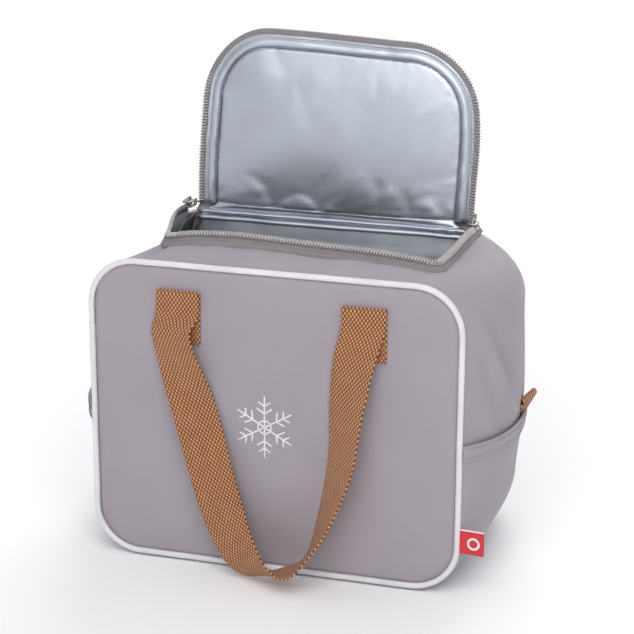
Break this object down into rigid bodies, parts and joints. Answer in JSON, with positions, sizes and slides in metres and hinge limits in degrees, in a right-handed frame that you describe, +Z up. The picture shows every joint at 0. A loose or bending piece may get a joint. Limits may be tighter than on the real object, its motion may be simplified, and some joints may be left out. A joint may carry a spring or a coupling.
{
  "type": "insulated cooler bag",
  "caption": "Soft insulated cooler bag with piped front and back panels, foil-lined zip lid hinged at the back, webbing carrying handles and side slip pockets; shown standing with the lid open.",
  "frame": {"origin": "centre of the base, on the surface the bag stands on", "axes": "+Z up, +X to the right seen from the front, +Y from the front panel towards the back panel"},
  "size_m": [0.368, 0.2723, 0.407],
  "materials": {
    "cloth": "grey-mauve fine twill polyester, slightly silky",
    "foil": "silver aluminised film on cloth, soft wrinkles, satin metallic",
    "foam": "closed-cell foam sheet, sealed inside the walls",
    "piping": "white coated piping",
    "zip_tape": "woven zip tape",
    "zip_coil": "nylon coil",
    "slider_metal": "nickel-plated die casting",
    "webbing": "tan coarse basket-weave webbing",
    "label": "red woven label"
  },
  "bodies": {
    "bag": {"front_panel": "cloth", "front_foam": "foam", "front_lining": "foil", "back_panel": "cloth", "back_foam": "foam", "back_lining": "foil", "left_side_panel": "cloth", "left_side_foam": "foam", "left_side_lining": "foil", "right_side_panel": "cloth", "right_side_foam": "foam", "right_side_lining": "foil", "base_panel": "cloth", "base_foam": "foam", "base_lining": "foil", "front_piping": "piping", "back_piping": "piping", "front_gusset": "cloth", "mouth_zip_tape": "zip_tape", "mouth_zip_coil": "zip_coil", "hinge_roll": "foil", "front_handle_left_end": "webbing", "front_handle_right_end": "webbing", "back_handle_left_end": "webbing", "back_handle_right_end": "webbing", "right_pocket": "cloth", "left_pocket": "cloth", "right_pocket_hem": "cloth", "left_pocket_hem": "cloth", "side_tab": "webbing", "side_label": "label"},
    "lid": {"lid_lining": "foil", "lid_foam": "foam", "lid_panel": "cloth", "lid_zip_tape": "zip_tape", "lid_zip_coil": "zip_coil"},
    "front_handle": {"front_handle_loop": "webbing"},
    "back_handle": {"back_handle_loop": "webbing"},
    "right_slider": {"right_slider": "slider_metal"},
    "left_slider": {"left_slider": "slider_metal"},
    "right_pull": {"right_pull": "slider_metal"},
    "left_pull": {"left_pull": "slider_metal"}
  },
  "joints": [
    {"name": "lid_hinge", "type": "hinge", "parent": "bag", "child": "lid", "pos_m": [0, 0.074, 0.257], "axis": [1, 0, 0], "range_deg": [-30, 88]},
    {"name": "front_handle_swing", "type": "hinge", "parent": "bag", "child": "front_handle", "pos_m": [0, -0.0943, 0.2265], "axis": [-1, 0, 0], "range_deg": [0, 175]},
    {"name": "back_handle_swing", "type": "hinge", "parent": "bag", "child": "back_handle", "pos_m": [0, 0.08158, 0.22638], "axis": [1, 0, 0], "range_deg": [0, 160]},
    {"name": "right_slider_travel", "type": "slide", "parent": "bag", "child": "right_slider", "axis": [0, -1, 0], "range_m": [0, 0.095]},
    {"name": "left_slider_travel", "type": "slide", "parent": "bag", "child": "left_slider", "axis": [0, -1, 0], "range_m": [0, 0.095]},
    {"name": "right_pull_swing", "type": "hinge", "parent": "right_slider", "child": "right_pull", "pos_m": [0.1138, 0.067, 0.2546], "axis": [1, 0, 0], "range_deg": [0, 32]},
    {"name": "left_pull_swing", "type": "hinge", "parent": "left_slider", "child": "left_pull", "pos_m": [-0.1138, 0.067, 0.2546], "axis": [1, 0, 0], "range_deg": [0, 32]}
  ]
}
